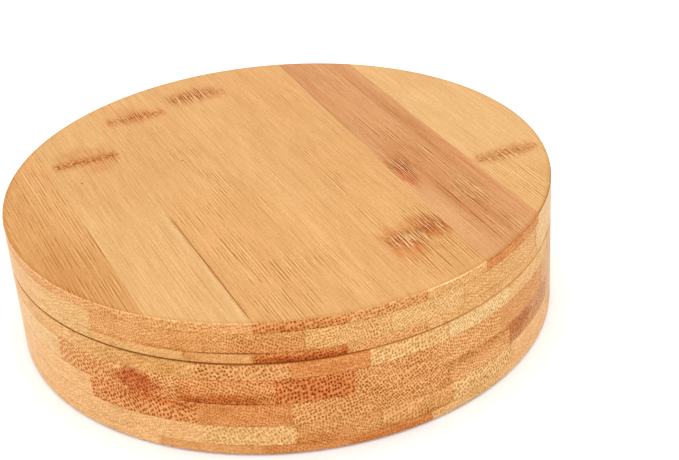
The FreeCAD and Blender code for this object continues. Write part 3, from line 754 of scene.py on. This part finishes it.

# Stains and dark lines on the cut sides, and painted shade along the seam: the distance across
# and up of the middle, half the width and height, the tint and its amount. A last number keeps a
# stain to the right of a joint.
BLOOMS = {
    # The dark ovals 0.3 mm high at 29 mm, here and on base_ply_1, are painted shade along the seam.
    "platter_bottom_ply": ((-48.0, 29.0, 34.0, 0.3, SHADE_AND_DARK_LINE, 1.0),
                           (-26.0, 30.0, 12.0, 1.2, STAIN, 0.7)),
    "platter_core_ply": ((-42.0, 32.2, 9.0, 0.35, SHADE_AND_DARK_LINE, 0.8), (-60.0, 32.6, 9.0, 0.6, STAIN, 0.5),
                         (-34.0, 34.0, 10.0, 3.0, STAIN, 0.3), (-51.5, 35.0, 5.5, 5.0, WARM, 0.9)),
    "base_ply_1": ((-48.0, 29.0, 34.0, 0.3, SHADE_AND_DARK_LINE, 1.0), (-20.0, 26.0, 9.0, 1.6, STAIN, 0.25),
                   (-58.0, 26.0, 11.0, 5.0, WARM, 1.0)),
    "base_ply_2": ((-45.0, 17.2, 9.0, 2.8, STAIN, 0.6), (-62.3, 20.3, 4.6, 4.4, DEEP_RED, 0.95),
                   (-57.0, 18.0, 8.0, 4.0, STAIN, 0.4), (-70.0, 19.0, 7.0, 5.0, STAIN, 0.25),
                   (-48.0, 16.5, 16.0, 0.3, SHADE_AND_DARK_LINE, 0.4), (-22.0, 20.0, 9.0, 4.0, STAIN, 0.3),
                   (-52.5, 21.0, 4.0, 3.5, PALER, 0.9)),
    "base_ply_3": ((-59.0, 15.5, 9.0, 1.4, STAIN, 0.7), (25.0, 15.3, 12.0, 1.4, STAIN, 0.25),
                   (39.0, 14.2, 9.0, 3.4, STAIN, 0.7, 36.3), (-10.0, 13.5, 12.0, 3.0, STAIN, 0.12)),
    "base_ply_4": ((-3.0, 5.4, 9.0, 1.6, PALER, 0.9), (6.5, 4.6, 0.25, 1.5, SHADE_AND_DARK_LINE, 0.5),
                   (10.0, 5.2, 4.0, 1.2, PALER, 0.6), (-22.0, 5.0, 10.0, 1.8, STAIN, 0.3)),
    "base_ply_5": ((-5.0, 1.6, 14.0, 1.6, STAIN, 0.4),),
}


# Each material's noise starts from a seed of its own.
STRIP_SEED_STEP = 13.7
PLY_SEED, PLY_SEED_STEP = 200.0, 17.3
# Millimetres above the top ply, which keep the glue line off the platter's upper rim.
NO_GLUE_ABOVE = 1.0
PLY_STREAKS = 0.5


def heights(node):
    low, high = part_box(node)
    return low.z * MM_PER_M, high.z * MM_PER_M


def dress_bamboo():
    for number, look in TOP_STRIPS.items():
        node = f"platter_top_strip_{number}"
        bottom, top = heights(node)
        finish_node(node, bamboo(node, number * STRIP_SEED_STEP, ((-EDGE, *look["side"]),),
                                 bottom, top + NO_GLUE_ABOVE, look))
    for count, (node, strips) in enumerate(PLIES.items()):
        look = dict(streaks=PLY_STREAKS, patches=SEAM_PATCHES.get(node, ()),
                    blooms=BLOOMS[node], long_side=LONG_SIDES[node])
        finish_node(node, bamboo(node, PLY_SEED + count * PLY_SEED_STEP, strips,
                                 *heights(node), look))


# ------------------------------------------------------------------------ metal and rubber

TARNISH = (0.3, 0.31, 0.33)
SPANGLE_ROUGHNESS = 0.15
DARK_RUBBER, LIGHT_RUBBER = (0.012, 0.012, 0.013), (0.03, 0.03, 0.032)
RUBBER_GRAINS_PER_MM = 4
FEET = 4


def steel(name, tone, roughness, blotch):
    recipe = r = Recipe(name)
    spangle = r.noise(r.place(MM_PER_M), detail=4.0, roughness=0.7)
    r.set(Base_Color=r.tint(tone, r.times(spangle, blotch), TARNISH), Metallic=1.0,
          Roughness=r.add(roughness, r.times(spangle, SPANGLE_ROUGHNESS)))
    r.bump(spangle, distance=0.00001, strength=0.5)
    return recipe.material


def rubber(name):
    recipe = r = Recipe(name)
    grain = r.noise(r.place(RUBBER_GRAINS_PER_MM * MM_PER_M), detail=3.0)
    r.set(Base_Color=r.mix(grain, DARK_RUBBER, LIGHT_RUBBER), Roughness=0.75)
    r.bump(grain, distance=0.00002, strength=0.6)
    return recipe.material


def dress_hardware():
    zinc = steel("zinc_plated_steel", (0.74, 0.75, 0.76), roughness=0.28, blotch=0.5)
    finish_node("swivel_lower_plate", zinc)
    finish_node("swivel_upper_plate", zinc)
    finish_node("swivel_ball_cage",
                steel("cage_steel", (0.55, 0.55, 0.56), roughness=0.35, blotch=0.6))
    finish_node("swivel_balls", steel("ball_steel", (0.8, 0.8, 0.82), roughness=0.08, blotch=0.1))
    brassy = steel("yellow_zinc_screws", (0.72, 0.6, 0.34), roughness=0.3, blotch=0.4)
    finish_node("base_screws", brassy)
    finish_node("platter_screws", brassy)
    pad = rubber("foot_rubber")
    for number in range(1, FEET + 1):
        finish_node(f"rubber_foot_{number}", pad)


# ------------------------------------------------------------------ table, light and camera

TABLE_HALF = 3.0
TABLE_TONES = (0.9, 0.9, 0.9), (0.93, 0.93, 0.93)
WORLD_STRENGTH = 1.29
# Each lamp: where it stands, its width and its power in watts.
LAMPS = {
    "overhead": ((0.0, 0.3, 1.4), 1.6, 4.5),
    "front": ((0.1, -1.6, 0.45), 1.4, 5.6),
    "left": ((-1.5, -0.6, 0.5), 1.2, 4.5),
    "right": ((1.5, -0.5, 0.5), 1.2, 3.4),
}
CAMERA_PLACE = (0.0, -0.37618, 0.23637)
# Radians: how far the camera looks down and to the right, and is turned about its own axis.
CAMERA_PITCH, CAMERA_YAW, CAMERA_ROLL = 0.5217, 0.0455, -0.0713
# Millimetres, as cameras are sold.
SENSOR_WIDTH, FOCAL_LENGTH = 36.0, 76.77
NEAREST_SEEN = 0.01


def make_table():
    half = TABLE_HALF
    mesh = bpy.data.meshes.new("table")
    corners = [(-half, -half, 0), (half, -half, 0), (half, half, 0), (-half, half, 0)]
    mesh.from_pydata(corners, [], [(0, 1, 2, 3)])
    table = bpy.data.objects.new("table", mesh)
    bpy.context.scene.collection.objects.link(table)
    recipe = r = Recipe("table_white")
    r.set(Base_Color=r.mix(r.noise(r.place(1.0), detail=3.0), *TABLE_TONES), Roughness=0.9)
    mesh.materials.append(recipe.material)


def make_light():
    world = bpy.data.worlds.new("studio")
    world.use_nodes = True
    background = world.node_tree.nodes["Background"]
    background.inputs["Color"].default_value = (*WHITE, 1.0)
    background.inputs["Strength"].default_value = WORLD_STRENGTH
    bpy.context.scene.world = world
    for name, (place, width, power) in LAMPS.items():
        lamp = bpy.data.lights.new(name, "AREA")
        lamp.shape = "DISK"
        lamp.size = width
        lamp.energy = power
        holder = bpy.data.objects.new(name, lamp)
        holder.location = place
        holder.rotation_mode = "QUATERNION"
        holder.rotation_quaternion = (-Vector(place)).to_track_quat("-Z", "Y")
        bpy.context.scene.collection.objects.link(holder)


def make_camera():
    """A camera at a seated person's view of the object, turned a little about its own axis."""
    pitch, yaw, roll = CAMERA_PITCH, CAMERA_YAW, CAMERA_ROLL
    forward = Vector((math.sin(yaw) * math.cos(pitch), math.cos(yaw) * math.cos(pitch),
                      -math.sin(pitch)))
    level = Vector((math.cos(yaw), -math.sin(yaw), 0.0))
    above = level.cross(forward)
    right = level * math.cos(roll) + above * math.sin(roll)
    top = above * math.cos(roll) - level * math.sin(roll)
    data = bpy.data.cameras.new("camera")
    data.sensor_width = SENSOR_WIDTH
    data.lens = FOCAL_LENGTH
    data.clip_start = NEAREST_SEEN
    camera = bpy.data.objects.new("camera", data)
    place = Matrix((right, top, -forward)).transposed().to_4x4()
    place.translation = Vector(CAMERA_PLACE)
    camera.matrix_world = place
    bpy.context.scene.collection.objects.link(camera)
    bpy.context.scene.camera = camera


bpy.context.scene.view_settings.view_transform = "Standard"
dress_bamboo()
dress_hardware()
make_table()
make_light()
make_camera()
